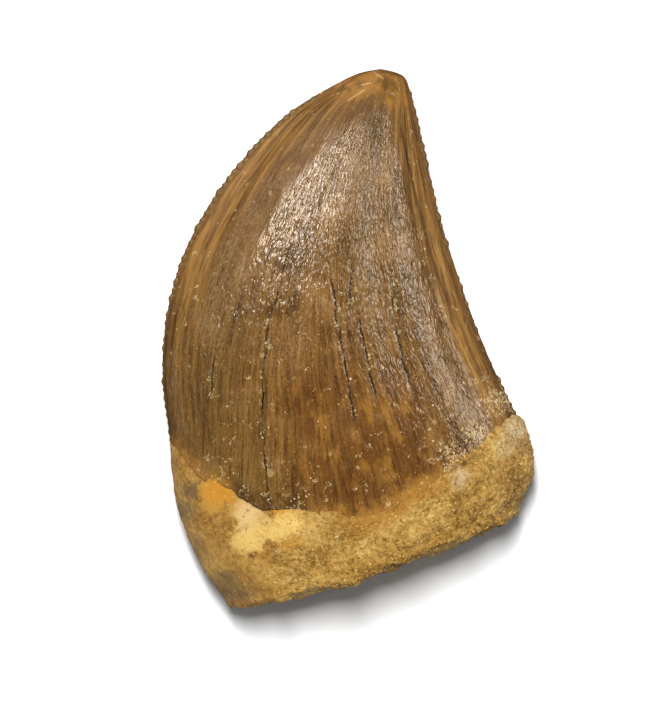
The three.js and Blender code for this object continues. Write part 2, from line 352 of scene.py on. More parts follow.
def closedMesh(name, rows, layers, growth=None):
    # A closed mesh from rows of points round a piece. The first and the last row close over a middle point.
    # Layers are named numbers for each point, for the material.
    rowCount, columnCount = rows.shape[:2]
    points = rows.reshape(-1, 3)
    poles = np.stack([rows[0].mean(axis=0), rows[-1].mean(axis=0)])
    index = np.arange(rowCount * columnCount).reshape(rowCount, columnCount)
    here, ahead = index[:-1], index[1:]
    quads = np.stack([here, np.roll(here, -1, 1), np.roll(ahead, -1, 1), ahead], -1).reshape(-1, 4)
    first, last = index[0], index[-1]
    low, high = len(points), len(points) + 1
    fans = np.concatenate([
        np.stack([np.roll(first, -1), first, np.full(columnCount, low)], -1),
        np.stack([last, np.roll(last, -1), np.full(columnCount, high)], -1),
    ])
    places = (np.concatenate([points, poles]) + [*toothForm["toOrigin"], 0.0]) * millimetre
    mesh = bpy.data.meshes.new(name)
    mesh.from_pydata(places.tolist(), [], quads.tolist() + fans.tolist())
    for layer, values in layers.items():
        values = values.reshape(rowCount * columnCount, -1)
        ends = np.stack([values[:columnCount].mean(axis=0), values[-columnCount:].mean(axis=0)])
        values = np.concatenate([values, ends])
        kind = "FLOAT_VECTOR" if values.shape[1] == 3 else "FLOAT"
        attribute = mesh.attributes.new(layer, kind, "POINT")
        attribute.data.foreach_set("vector" if kind == "FLOAT_VECTOR" else "value", values.ravel())
    if growth is not None:
        storeGrowth(mesh, growth)
    mesh.polygons.foreach_set("use_smooth", [True] * len(mesh.polygons))
    mesh.update()
    piece = bpy.data.objects.new(name, mesh)
    scene.collection.objects.link(piece)
    return piece


def storeGrowth(mesh, growth):
    # Millimetres round and along the tooth at each corner of a face. They run on past the seam at the front
    # edge.
    loops = np.zeros(len(mesh.loops), int)
    mesh.loops.foreach_get("vertex_index", loops)
    starts = np.zeros(len(mesh.polygons), int)
    sizes = np.zeros(len(mesh.polygons), int)
    mesh.polygons.foreach_get("loop_start", starts)
    mesh.polygons.foreach_get("loop_total", sizes)
    face = np.repeat(np.arange(len(sizes)), sizes)
    poles = np.tile(growth.reshape(-1, 2).mean(axis=0), (2, 1))
    flat = np.concatenate([growth.reshape(-1, 2), poles])
    around = flat[loops, 0]
    whole = 2.0 * toothForm["meanWidth"]
    widest = np.maximum.reduceat(around, starts)[face]
    around = np.where(widest - around > whole / 2, around + whole, around)
    values = np.stack([around, flat[loops, 1], np.zeros(len(loops))], -1)
    attribute = mesh.attributes.new("growth", "FLOAT_VECTOR", "CORNER")
    attribute.data.foreach_set("vector", values.ravel())


# The enamel crown

crownForm = {
    "outerColumns": 212,
    "innerColumns": 72,
    "rows": 280,
    "tipRows": 24,
    "lineChips": {"reach": 0.01, "size": 1.6, "innerShift": 40.0},  # the reach is a share of the length
    "skirt": [(0.0, 0.15), (0.1, 0.5), (0.25, 0.9)],  # steps down inside the root: along and depth
    "skirtInwards": (0.25, 0.6),  # further rows, as shares of the way to the middle
    "skirtLowest": 0.02,
    "wrinkles": {"size": 0.32, "long": 3.2, "height": 0.022},
    "ripples": {"size": 1.3, "long": 7.0, "height": 0.03},
    "dents": {"size": 3.0, "height": 0.05},
    "crest": {"width": 0.03, "height": 0.1, "from": 0.5, "to": 0.7},
    "smoothTipFrom": 0.945,
}

# Drying cracks as points of across and along, with half width, depth and how dark they are
cracks = [
    {"path": [(0.395, 0.58), (0.375, 0.53), (0.362, 0.49), (0.342, 0.45), (0.328, 0.40), (0.308, 0.35),
              (0.282, 0.295), (0.27, 0.238), (0.25, 0.14)],
     "half": 0.2, "depth": 0.12, "dark": 1.0},
    {"path": [(0.518, 0.768), (0.492, 0.725), (0.472, 0.668), (0.48, 0.632)],
     "half": 0.16, "depth": 0.06, "dark": 0.6},
    {"path": [(0.54, 0.555), (0.562, 0.48), (0.568, 0.378), (0.55, 0.275), (0.542, 0.242)],
     "half": 0.18, "depth": 0.14, "dark": 1.0},
    {"path": [(0.63, 0.56), (0.618, 0.50), (0.615, 0.452)],
     "half": 0.16, "depth": 0.1, "dark": 0.9},
    {"path": [(0.64, 0.46), (0.636, 0.36), (0.628, 0.28)],
     "half": 0.2, "depth": 0.16, "dark": 1.0},
    {"path": [(0.765, 0.55), (0.76, 0.50), (0.75, 0.42), (0.745, 0.36), (0.74, 0.275)],
     "half": 0.18, "depth": 0.13, "dark": 0.95},
    {"path": [(0.79, 0.29), (0.805, 0.22), (0.835, 0.19)],
     "half": 0.14, "depth": 0.06, "dark": 0.7},
    {"path": [(0.17, 0.408), (0.135, 0.318)],
     "half": 0.14, "depth": 0.08, "dark": 0.85},
    {"path": [(0.905, 0.638), (0.90, 0.5), (0.912, 0.415), (0.938, 0.31)],
     "half": 0.14, "depth": 0.05, "dark": 0.45},
]
crackForm = {
    "stray": 0.15,
    "straySize": 0.9,
    "fade": (0.004, 0.03),  # how far a crack runs on past its end and how far back it is full, in along
    "breakSize": 0.7,
    "atBreaks": 0.5,  # what is left of a crack where it breaks off
    "near": (0.35, 0.5),  # the distances between which it stops to count
    "farthest": 0.6,
}

# Scratches on the worn tip, each from one place to another
tipScratches = [((1.29, 18.44), (0.03, 17.62)), ((1.07, 18.81), (1.74, 18.96)), ((1.88, 19.85), (2.7, 19.25))]
scratchReach = 0.6  # distances past this are all the same

# Where lime clings: across, along, radius and how thick
limeSpots = [
    (0.97, 0.24, 1.2, 1.0), (0.93, 0.29, 1.0, 0.2), (0.8, 0.15, 1.5, 0.7), (0.87, 0.19, 1.2, 0.8),
    (0.75, 0.24, 1.4, 0.3), (0.13, 0.22, 1.6, 0.2), (0.33, 0.13, 1.6, 0.3), (0.62, 0.11, 1.0, 0.15),
    (0.45, 0.2, 6.0, 0.02),
]
limeForm = {
    "width": 23.0,  # from edge to edge, low on the crown
    "inCracks": {"amount": 0.35, "reach": 0.3, "darkerThan": 0.3},
    "innerSide": 0.35,  # as much as this share of the outer side's lime
}


def enamelEnd(columns, isOuter):
    # Where the enamel ends on each column, with small chips that are not the same on both sides
    line = onLine(toothForm["enamelLine"], columns)
    for _ in range(5):
        across = np.where(isOuter, np.clip(leaning(columns, line), 0.0, 1.0), columns)
        line = onLine(toothForm["enamelLine"], across)
    chips = crownForm["lineChips"]
    side = np.where(isOuter, 0.0, chips["innerShift"])
    spots = np.stack([columns * toothForm["meanWidth"], side, 0.0 * columns], -1)
    return line + chips["reach"] * layered(spots, chips["size"], 11, 4, 0.7)


def crackDepths(across, along, isOuter, widths):
    # Depth of the drying cracks, the distance to the nearest one and how dark it is there. They stray a
    # little, and break off and go on.
    depth, dark, nearest = np.zeros(along.shape), np.zeros(along.shape), np.full(along.shape, 9.0)
    spots = np.stack([along * toothForm["meanLength"], 0.0 * along, 0.0 * along], -1)
    past, back = crackForm["fade"]
    for number, crack in enumerate(cracks):
        path = np.array(sorted(crack["path"], key=lambda point: point[1]))
        stray = crackForm["stray"] * layered(spots, crackForm["straySize"], 40 + number, 4, 0.65)
        distance = (across - np.interp(along, path[:, 1], path[:, 0])) * widths + stray
        low, high = path[0, 1], path[-1, 1]
        ends = smooth(along, low - past, low + back) * (1.0 - smooth(along, high - back, high + past))
        whole = smooth(unevenness(spots, crackForm["breakSize"], 70 + number), -0.5, 0.0)
        breaks = mix(crackForm["atBreaks"], 1.0, whole)
        profile = np.clip(1.0 - np.abs(distance) / crack["half"], 0.0, 1.0)
        depth = np.maximum(depth, crack["depth"] * profile * ends * breaks * isOuter)
        closer = np.abs(distance) < np.abs(nearest)
        nearest = np.where(closer, distance, nearest)
        near = 1.0 - smooth(np.abs(distance), *crackForm["near"])
        dark = np.where(closer, crack["dark"] * ends * breaks * near * isOuter, dark)
    return depth, np.clip(nearest, -crackForm["farthest"], crackForm["farthest"]), dark


def crownRows(form):
    start = toothForm["tipRoundFrom"]
    body = np.linspace(0.0, start, form["rows"], endpoint=False)
    tip = mix(start, 1.0, np.sin(np.linspace(0.0, math.pi / 2, form["tipRows"], endpoint=False)))
    return np.concatenate([body, tip])


def growthPlaces(around, along):
    around = np.broadcast_to(around, along.shape)
    return np.stack([around * toothForm["meanWidth"], along * toothForm["meanLength"]], -1)


def wrinkleHeights(form, growth, worn):
    # Fine wrinkles and wider ripples along the growth of the tooth, none where it is worn smooth
    spots = np.concatenate([growth, np.zeros(worn.shape + (1,))], -1)
    wrinkles, ripples = form["wrinkles"], form["ripples"]
    fine = layered(spots / [1.0, wrinkles["long"], 1.0], wrinkles["size"], 3, 2)
    wide = layered(spots / [1.0, ripples["long"], 1.0], ripples["size"], 5, 3)
    return worn * (wrinkles["height"] * (1.0 - 2.0 * np.abs(fine)) + ripples["height"] * wide)


def crestHeights(form, across, along, worn):
    # The sharp line on the keel, which grows towards the tip
    crest = form["crest"]
    ridge = hump(across - 0.5 ** (1.0 / toothForm["outerSkew"]["crown"]), crest["width"])
    return crest["height"] * ridge * worn * smooth(along, crest["from"], crest["to"])


def repeatedStart(values, count):
    # The first row again for the rows that lead down into the root
    return np.concatenate([np.repeat(values[:1], count, 0), values])


def makeCrown(form):
    columns, isOuter, around = loopColumns(form["outerColumns"], form["innerColumns"])
    end = enamelEnd(columns, isOuter)
    along = end + (1.0 - end) * crownRows(form)[:, None]
    points, across = sides(columns, isOuter, along)
    normals = gridNormals(points)
    growth = growthPlaces(around, along)
    worn = 1.0 - smooth(along, form["smoothTipFrom"] - 0.02, form["smoothTipFrom"])
    widths = np.linalg.norm(onEdge("rearEdge", along) - onEdge("frontEdge", along), axis=-1)
    depth, crackSide, crackDark = crackDepths(across, along, isOuter, widths)
    dents = form["dents"]["height"] * layered(points, form["dents"]["size"], 7, 2)
    height = wrinkleHeights(form, growth, worn) + dents - depth
    height = height + crestHeights(form, across, along, worn) * isOuter
    points = points + normals * height[..., None]
    points[..., 2] = np.maximum(points[..., 2], 0.0)
    points, extra = withSkirt(points, normals, form)
    layers = {
        "across": np.broadcast_to(across, along.shape),
        "along": along,
        "fromFront": across * widths,
        "fromRear": (1.0 - across) * widths,
        "crackSide": crackSide,
        "crackDark": crackDark,
        "outer": np.broadcast_to(isOuter.astype(float), along.shape),
        "aboveEnd": along - end,
        "scratch": scratchDistance(points[extra:], isOuter),
    }
    layers["lime"] = limeShare(layers)
    layers = {name: repeatedStart(values, extra) for name, values in layers.items()}
    return closedMesh("enamelCrown", points, layers, repeatedStart(growth, extra))


def scratchDistance(points, isOuter):
    # Millimetres from each point to the nearest scratch, seen from above
    flat = points[..., :2]
    nearest = np.full(flat.shape[:-1], scratchReach)
    for start, end in tipScratches:
        start, run = np.array(start), np.subtract(end, start)
        share = np.clip(((flat - start) * run).sum(axis=-1) / (run * run).sum(), 0.0, 1.0)
        nearest = np.minimum(nearest, np.linalg.norm(flat - start - share[..., None] * run, axis=-1))
    return np.where(isOuter, nearest, scratchReach)


def limeShare(layers):
    # How many flakes of lime cling to each place of the crown
    share = np.zeros(layers["along"].shape)
    for across, along, radius, amount in limeSpots:
        sideways = (layers["across"] - across) * limeForm["width"]
        lengthwise = (layers["along"] - along) * toothForm["meanLength"]
        share = np.maximum(share, amount * hump(np.hypot(sideways, lengthwise), radius))
    inCracks = limeForm["inCracks"]
    cracked = layers["crackDark"] > inCracks["darkerThan"]
    share = np.maximum(share, inCracks["amount"] * hump(layers["crackSide"], inCracks["reach"]) * cracked)
    return share * mix(limeForm["innerSide"], 1.0, layers["outer"])


def withSkirt(points, normals, form):
    # Rows that lead from the broken end of the enamel down into the root
    steps = form["skirt"]
    rim, inward = points[0], -normals[0]
    back = rim - points[1]
    back = back / np.linalg.norm(back, axis=-1, keepdims=True)
    rows = [rim + inward * depth + back * along for along, depth in steps]
    middle = rows[-1].mean(axis=0)
    rows += [mix(rows[len(steps) - 1], middle, share) for share in form["skirtInwards"]]
    for row in rows:
        row[:, 2] = np.maximum(row[:, 2], form["skirtLowest"])
    return np.concatenate([np.stack(rows[::-1]), points]), len(rows)


crown = makeCrown(crownForm)
print("crown:", len(crown.data.polygons), "faces")


# The broken root with its sand

rootDetail = {
    "outerColumns": 300,
    "innerColumns": 130,
    "rows": 120,
    "rings": 46,
    "rowSpacing": 0.9,
    "grain": {"size": 0.3, "height": 0.1},
    "clods": {"size": 1.6, "height": 0.11},
    "pits": {"size": 0.7, "height": 0.12},
    # x, y and radius of the bare dentine
    "bareSpots": [
        (-9.7, -11.6, 1.7), (-7.6, -13.0, 2.3), (-4.7, -13.0, 1.9), (-7.3, -14.6, 1.6), (-5.5, -14.1, 1.5),
        (-3.9, -13.7, 1.3),
    ],
    "hollow": {"at": (-7.2, -12.9), "reach": 3.0, "depth": 0.4},  # in the bare dentine
    "stray": {"amount": 1.5, "size": 1.7},  # how far the ends of the bare spots stray
    "sandFrom": (0.08, 0.3),  # across, where the sand begins and where it is full
    "ragged": {"amount": 0.012, "size": 1.2},  # how far the end of the sand strays, as a share of the length
    "tuckedIn": (0.002, 0.03),  # where the root goes in under the enamel, as shares of the length
    "noGrainsBelow": 0.15,  # because the tooth rests there
}


def rootLevel(points, across, pastLine, isOuter, detail):
    # How far the root stands out past the plain form, how bare its dentine is and how much sand covers it
    bare = np.zeros(across.shape)
    stray = detail["stray"]["amount"] * layered(points, detail["stray"]["size"], 23, 5, 0.65)
    for x, y, radius in detail["bareSpots"]:
        offset = np.hypot(points[..., 0] - x, points[..., 1] - y) + stray
        bare = np.maximum(bare, 1.0 - smooth(offset, radius * 0.4, radius * 1.15))
    bare = bare * isOuter
    sandy = smooth(across + 0.013 * stray, *detail["sandFrom"])
    stands = mix(rootForm["stands"]["front"], rootForm["stands"]["rear"], across)
    x, y = detail["hollow"]["at"]
    hollow = hump(np.hypot(points[..., 0] - x, points[..., 1] - y), detail["hollow"]["reach"]) * isOuter
    rough = rootForm["lumps"] * (1.0 - 0.8 * bare) * mix(0.4, 1.0, sandy) * lumps(points)
    ragged = detail["ragged"]["amount"] * layered(points, detail["ragged"]["size"], 21, 3)
    under = smooth(pastLine + ragged, *detail["tuckedIn"])
    level = stands + rough - detail["hollow"]["depth"] * hollow
    return mix(level, -rootForm["sink"], under), bare, sandy


def sandHeights(points, bare, sandy, detail):
    # Grains, clods and pits, less where dentine is bare or the sand thin
    grain, clods, pits = detail["grain"], detail["clods"], detail["pits"]
    rough = grain["height"] * layered(points, grain["size"], 31, 2, 0.7)
    rough += clods["height"] * layered(points, clods["size"], 33, 2)
    rough -= pits["height"] * smooth(layered(points, pits["size"], 35, 2), 0.35, 0.8)
    roughness = mix(1.0, 0.3, bare) * mix(0.65, 1.0, sandy)
    return rough * roughness


def makeRoot(detail):
    columns, isOuter, _ = loopColumns(detail["outerColumns"], detail["innerColumns"])
    line = enamelEnd(columns, isOuter)
    top = line + rootForm["overlap"]
    along = top * np.linspace(1.0, 0.0, detail["rows"])[:, None] ** detail["rowSpacing"]
    plain, across = sides(columns, isOuter, along)
    middle = plainPoint(0.5 + 0.0 * along, along, 0.0 * along)
    outward = plain - middle
    outward = outward / np.maximum(np.linalg.norm(outward, axis=-1, keepdims=True), 1e-6)
    level, bare, sandy = rootLevel(plain, across, along - line, isOuter, detail)
    body = plain + outward * level[..., None]
    body[..., 2] = np.maximum(body[..., 2], 0.0)
    rings = detail["rings"]
    points = np.concatenate([body, endRings(body[-1], rings)])
    bare = np.concatenate([bare, np.zeros((rings, len(columns)))])
    sandy = np.concatenate([sandy, mix(sandy[-1:], 1.0, np.linspace(0.1, 1.0, rings)[:, None])])
    points = points + gridNormals(points) * sandHeights(points, bare, sandy, detail)[..., None]
    points[..., 2] = np.maximum(points[..., 2], 0.0)
    ends = np.repeat(along[-1:], rings, 0) - np.linspace(0.01, 0.3, rings)[:, None]
    layers = {
        "across": np.concatenate([across, np.repeat(across[-1:], rings, 0)]),
        "along": np.concatenate([along, ends]),
        "bare": bare,
        "sandy": sandy * (1.0 - bare) * (points[..., 2] > detail["noGrainsBelow"]),
        "outer": np.broadcast_to(isOuter.astype(float), bare.shape),
        "pastLine": np.concatenate([along - line, np.repeat((along - line)[-1:], rings, 0)]),
    }
    return closedMesh("brokenRoot", points, layers)


def endRings(rim, rings):
    # Rings over the broken end, from its rim inwards
    end = rootForm["end"]
    push = np.array([*end["direction"], 0.0])
    middle = rim.mean(axis=0)
    steps = (np.arange(1, rings + 1) / (rings + 1)) ** rootForm["ringSpacing"]
    shrink = (1.0 - steps)[:, None, None]
    advance = end["reach"] * (1.0 - shrink ** end["squareness"]) ** (1.0 / end["squareness"])
    points = mix(middle, rim, shrink) + push * advance
    uneven = end["lumps"] * lumps(points) * smooth(1.0 - shrink[..., 0], 0.0, 0.05)
    points = points + push * uneven[..., None]
    points[..., 2] = np.maximum(points[..., 2], 0.0)
    return points


root = makeRoot(rootDetail)
print("root:", len(root.data.polygons), "faces")


# Short ways to place shader nodes

def addNode(tree, kind, inputs=None, **settings):
    node = tree.nodes.new(kind)
    for name, value in settings.items():
        setattr(node, name, value)
    for name, value in (inputs or {}).items():
        if isinstance(value, bpy.types.NodeSocket):
            tree.links.new(value, node.inputs[name])
        else:
            node.inputs[name].default_value = value
    return node


def maths(tree, operation, first, second=0.0):
    return addNode(tree, "ShaderNodeMath", {0: first, 1: second}, operation=operation).outputs[0]


def chained(tree, operation, values):
    result = values[0]
    for value in values[1:]:
        result = maths(tree, operation, result, value)
    return result


def total(tree, *values):
    return chained(tree, "ADD", values)


def product(tree, *values):
    return chained(tree, "MULTIPLY", values)


def largest(tree, *values):
    return chained(tree, "MAXIMUM", values)


def remainder(tree, share):
    return maths(tree, "SUBTRACT", 1.0, share)


def centred(tree, value):
    # A noise from 0 to 1 turned into one from -0.5 to 0.5
    return maths(tree, "SUBTRACT", value, 0.5)


def vectors(tree, operation, first, second):
    return addNode(tree, "ShaderNodeVectorMath", {0: first, 1: second}, operation=operation).outputs[0]


def scaled(tree, vector, factor):
    return addNode(tree, "ShaderNodeVectorMath", {0: vector, "Scale": factor}, operation="SCALE").outputs[0]


def ease(tree, value, low, high):
    # 0 below low, 1 above high and smooth between them
    inputs = {"Value": value, "From Min": low, "From Max": high}
    return addNode(tree, "ShaderNodeMapRange", inputs, interpolation_type="SMOOTHSTEP").outputs[0]


def mapped(tree, value, low, high):
    # A share from 0 to 1 turned into a number from low to high
    return addNode(tree, "ShaderNodeMapRange", {"Value": value, "To Min": low, "To Max": high}).outputs[0]


def layer(tree, name, vector=False):
    node = addNode(tree, "ShaderNodeAttribute", attribute_name=name)
    return node.outputs["Vector" if vector else "Fac"]


def stretched(tree, vector, scale):
    return addNode(tree, "ShaderNodeMapping", {"Vector": vector, "Scale": scale}).outputs[0]


def noise(tree, vector, scale, detail=3.0, roughness=0.55, distortion=0.0):
    inputs = {"Vector": vector, "Scale": scale, "Detail": detail, "Roughness": roughness}
    inputs["Distortion"] = distortion
    return addNode(tree, "ShaderNodeTexNoise", inputs).outputs[0]


def blend(tree, share, under, over):
    return addNode(tree, "ShaderNodeMix", {0: share, 6: under, 7: over}, data_type="RGBA").outputs[2]


def ramp(tree, value, stops):
    node = addNode(tree, "ShaderNodeValToRGB", {0: value})
    entries = node.color_ramp.elements
    while len(entries) < len(stops):
        entries.new(0.5)
    for entry, (position, colour) in zip(entries, stops):
        entry.position = position
        entry.color = colour
    return node.outputs[0]


def bumped(tree, height, distance, strength=1.0):
    # A normal for fine relief, with the distance in metres
    inputs = {"Height": height, "Strength": strength, "Distance": distance}
    return addNode(tree, "ShaderNodeBump", inputs).outputs[0]


def rgb(red, green, blue):
    return (red, green, blue, 1.0)


def newMaterial(name):
    material = bpy.data.materials.new(name)
    material.use_nodes = True
    return material, material.node_tree, material.node_tree.nodes["Principled BSDF"]


def millimetrePlaces(tree):
    coordinates = addNode(tree, "ShaderNodeTexCoord").outputs["Object"]
    return stretched(tree, coordinates, (1000.0, 1000.0, 1000.0))


def spot(tree, places, centre, full, reach):
    # 1 round a place and 0 out of its reach, seen from above
    flat = vectors(tree, "MULTIPLY", vectors(tree, "SUBTRACT", places, (*centre, 0.0)), (1.0, 1.0, 0.0))
    distance = addNode(tree, "ShaderNodeVectorMath", {0: flat}, operation="LENGTH").outputs["Value"]
    return ease(tree, distance, reach, full)


def shifted(tree, places, amount, scale):
    # Places moved a little by noise, so that spots on them get ragged edges
    inputs = {"Vector": places, "Scale": scale, "Detail": 3.0}
    wobble = addNode(tree, "ShaderNodeTexNoise", inputs).outputs["Color"]
    wobble = vectors(tree, "SUBTRACT", wobble, (0.5, 0.5, 0.5))
    return vectors(tree, "ADD", places, scaled(tree, wobble, amount))


# Enamel: brown, glossy and finely wrinkled lengthwise, with smooth golden bands along both edges and an
# amber tip

enamelLook = {
    "dark": rgb(0.046, 0.020, 0.005),
    "brown": rgb(0.145, 0.066, 0.013),
    "light": rgb(0.265, 0.135, 0.036),
    "olive": rgb(0.128, 0.068, 0.015),
    "gold": rgb(0.235, 0.108, 0.019),
    "goldDark": rgb(0.095, 0.038, 0.007),
    "goldLight": rgb(0.340, 0.175, 0.040),
    "shade": rgb(0.145, 0.060, 0.010),
    "amber": rgb(0.31, 0.137, 0.020),
    "rust": rgb(0.105, 0.037, 0.008),
    "patch": rgb(0.34, 0.155, 0.024),
    # the pale colour of a painted sheen on the finest wrinkles
    "paintedSheen": rgb(0.33, 0.215, 0.115),
    "seam": rgb(0.30, 0.14, 0.025),
    "scratch": rgb(0.55, 0.35, 0.12),
    "crack": rgb(0.012, 0.006, 0.003),
    "lime": rgb(0.52, 0.38, 0.19),
    "chip": rgb(0.30, 0.21, 0.07),
    "roughness": (0.22, 0.36),
    "specular": 0.2,
    "coatRoughness": 0.23,
    "coatIor": 1.7,
    "edgeRoughness": 0.5,
    "wrinkleHeight": 0.0001,  # metres
}
# Lumps to a millimetre round the tooth and along it, detail, roughness and distortion
growthNoises = {
    "streaks": (3.4, 0.22, 5.0, 0.7, 0.0),
    "hairs": (7.0, 0.5, 2.0, 0.6, 0.0),
    "wide": (0.8, 0.075, 3.0, 0.6, 0.0),
    "grit": (9.0, 5.0, 2.0, 0.8, 0.0),
    "patches": (1.0, 0.45, 5.0, 0.65, 0.0),
    "edging": (1.8, 0.11, 5.0, 0.65, 0.0),
    # specks of the painted sheen on the finest wrinkles
    "sheenSpecks": (8.0, 3.6, 3.0, 0.75, 0.6),
    "flecks": (6.0, 3.5, 3.0, 0.7, 1.0),
    "crinkle": (4.2, 1.8, 1.0, 0.5, 0.8),
}
# Lumps to a millimetre all ways, detail, roughness and distortion
evenNoises = {
    "mottle": (0.35, 6.0, 0.65, 0.0),
    "ambers": (0.8, 5.0, 0.65, 0.0),
    "cloudy": (1.4, 5.0, 0.75, 0.0),
    "threads": (2.4, 2.0, 0.6, 1.2),
    "crusts": (1.5, 3.0, 0.6, 0.0),
    "ragged": (6.0, 3.0, 0.7, 0.0),
}
# How much each noise counts in the brown of the crown
toneShares = {"wide": 0.2, "mottle": 0.28, "streaks": 0.27, "grit": 0.25}
# The numbers that the crown's points carry
crownLayers = (
    "across", "along", "fromFront", "fromRear", "aboveEnd", "outer", "crackSide", "crackDark", "scratch",
    "lime",
)
# Small chips stuck to the enamel: place and radius
enamelChips = [
    ((-5.6, -10.05), 0.3), ((0.65, 3.5), 0.2), ((0.5, 2.7), 0.13), ((3.6, 2.7), 0.18), ((-1.2, -8.6), 0.14),
]


def enamelMaps(tree):
    # The crown's layers and the noises that its colours and gloss are mixed from
    maps = {name: layer(tree, name) for name in crownLayers}
    growth, places = layer(tree, "growth", vector=True), millimetrePlaces(tree)
    for name, (around, along, *rest) in growthNoises.items():
        maps[name] = noise(tree, stretched(tree, growth, (around, along, 1.0)), 1.0, *rest)
    for name, settings in evenNoises.items():
        maps[name] = noise(tree, places, *settings)
    maps["places"] = places
    maps["stray"] = centred(tree, maps["wide"])
    maps["strayed"] = total(tree, maps["across"], product(tree, maps["stray"], 0.12))
    return maps


def enamelZones(tree, maps):
    # How much each place on the crown belongs to its worn tip, its two bands, the shade beside the front band
    # and the wrinkled part
    along, stray = maps["along"], maps["stray"]
    tip = ease(tree, total(tree, along, product(tree, stray, 0.1)), 0.865, 0.905)
    frontPlace = total(tree, maps["fromFront"], product(tree, stray, 3.0))
    front = product(tree, ease(tree, frontPlace, 3.2, 2.0), ease(tree, along, 0.3, 0.6))
    shade = product(tree, ease(tree, frontPlace, 6.0, 4.4), ease(tree, along, 0.42, 0.6))
    rear = ease(tree, total(tree, maps["fromRear"], product(tree, stray, 1.5)), 2.4, 1.8)
    bands = largest(tree, front, rear)
    unwrinkled = largest(tree, bands, shade, tip)
    upper = mapped(tree, ease(tree, along, 0.2, 0.5), 0.6, 1.0)
    wrinkled = product(tree, remainder(tree, unwrinkled), upper)
    return {"tip": tip, "bands": bands, "shade": shade, "wrinkled": wrinkled}


def tintedZones(tree, maps):
    # How much each place is olive, on the front flank and the strip behind the keel, and how much it belongs
    # to the rusty lower middle
    along, strayed = maps["along"], maps["strayed"]
    behindKeel = product(tree, ease(tree, strayed, 0.6, 0.65), ease(tree, strayed, 0.76, 0.7))
    strip = product(tree, behindKeel, ease(tree, along, 0.4, 0.55))
    flank = product(tree, ease(tree, strayed, 0.36, 0.2), ease(tree, along, 0.8, 0.6))
    middle = product(tree, ease(tree, strayed, 0.3, 0.42), ease(tree, strayed, 0.8, 0.7))
    low = product(tree, ease(tree, along, 0.46, 0.26), middle)
    return {"olive": largest(tree, strip, flank), "low": low}


def enamelGround(tree, look, maps, zones):
    # Brown in darker and lighter streaks, olive parts and the rusty lower middle with its amber patches
    tone = total(tree, *(product(tree, maps[name], share) for name, share in toneShares.items()))
    colour = ramp(tree, tone, [(0.41, look["dark"]), (0.5, look["brown"]), (0.6, look["light"])])
    colour = blend(tree, product(tree, zones["olive"], 0.5), colour, look["olive"])
    colour = blend(tree, product(tree, zones["low"], 0.6), colour, look["rust"])
    patches = product(tree, ease(tree, maps["patches"], 0.47, 0.68), zones["low"], 0.6)
    return blend(tree, patches, colour, look["patch"])


def enamelEdges(tree, look, maps, zones, colour):
    # The shade beside the front band, the golden bands, the worn tip and a painted shade along both cutting
    # edges
    colour = blend(tree, product(tree, zones["shade"], 0.45), colour, look["shade"])
    golds = [(0.36, look["goldDark"]), (0.52, look["gold"]), (0.68, look["goldLight"])]
    gold = ramp(tree, maps["edging"], golds)
    colour = blend(tree, product(tree, zones["bands"], 0.92), colour, gold)
    amber = blend(tree, ease(tree, maps["ambers"], 0.36, 0.56), look["brown"], look["amber"])
    colour = blend(tree, product(tree, zones["tip"], 0.9), colour, amber)
    # painted shade: both cutting edges are darkened where their steep sides turn away from the overhead light
    rim = ease(tree, maths(tree, "MINIMUM", maps["fromFront"], maps["fromRear"]), 0.8, 0.1)
    colour = blend(tree, product(tree, rim, 0.55), colour, look["goldDark"])
    return blend(tree, product(tree, rearGroove(tree, maps), 0.75), colour, look["dark"])


def rearGroove(tree, maps):
    # A thin dark groove along the rear band of the outer side
    along = maps["along"]
    place = total(tree, maps["fromRear"], product(tree, centred(tree, maps["streaks"]), 0.5))
    offset = maths(tree, "ABSOLUTE", maths(tree, "SUBTRACT", place, 1.45))
    reach = product(tree, ease(tree, along, 0.4, 0.5), ease(tree, along, 0.88, 0.8))
    return product(tree, ease(tree, offset, 0.2, 0.03), reach, maps["outer"])


def enamelLines(tree, look, maps, zones, colour):
    # Fine dark lines along the growth of the tooth with a few light ones, all fainter on the worn tip
    hairs = product(tree, ease(tree, maps["hairs"], 0.45, 0.36), 0.75)
    lines = largest(tree, ease(tree, maps["streaks"], 0.47, 0.33), hairs)
    colour = blend(tree, product(tree, lines, mapped(tree, zones["tip"], 0.8, 0.12)), colour, look["dark"])
    bright = product(tree, ease(tree, maps["streaks"], 0.56, 0.68), mapped(tree, zones["tip"], 0.28, 0.1))
    return blend(tree, bright, colour, look["gold"])


def enamelEnding(tree, look, maps, colour):
    # Where the enamel ends, a painted shadow of its broken edge darkens the front part, and the rear part has
    # the colour of the sand
    strayed = maps["strayed"]
    cloudy = product(tree, centred(tree, maps["cloudy"]), 0.09)
    ending = ease(tree, total(tree, maps["aboveEnd"], cloudy), 0.032, 0.004)
    # painted shadow along the broken edge of the enamel, above the bare patch
    paintedEdgeShadow = product(tree, ease(tree, strayed, 0.13, 0.18), ease(tree, strayed, 0.42, 0.34))
    colour = blend(tree, product(tree, ending, paintedEdgeShadow, 0.7), colour, look["dark"])
    sandy = product(tree, remainder(tree, paintedEdgeShadow), ease(tree, strayed, 0.85, 0.75), 0.8)
    return blend(tree, product(tree, ending, sandy), colour, look["seam"])


def paintedWrinkleSheen(tree, look, maps, zones, colour):
    # Painted sheen: pale specks in the finest wrinkles stand in for their gloss, less of it low on the crown
    sheenSpecks = total(tree, maps["sheenSpecks"], product(tree, centred(tree, maps["mottle"]), 0.5))
    free = largest(tree, zones["bands"], zones["tip"], product(tree, zones["low"], 0.6))
    lower = mapped(tree, ease(tree, maps["along"], 0.28, 0.44), 0.35, 1.0)
    sheenSpecks = product(tree, ease(tree, sheenSpecks, 0.5, 0.66), remainder(tree, free), lower, 0.36)
    return blend(tree, sheenSpecks, colour, look["paintedSheen"])


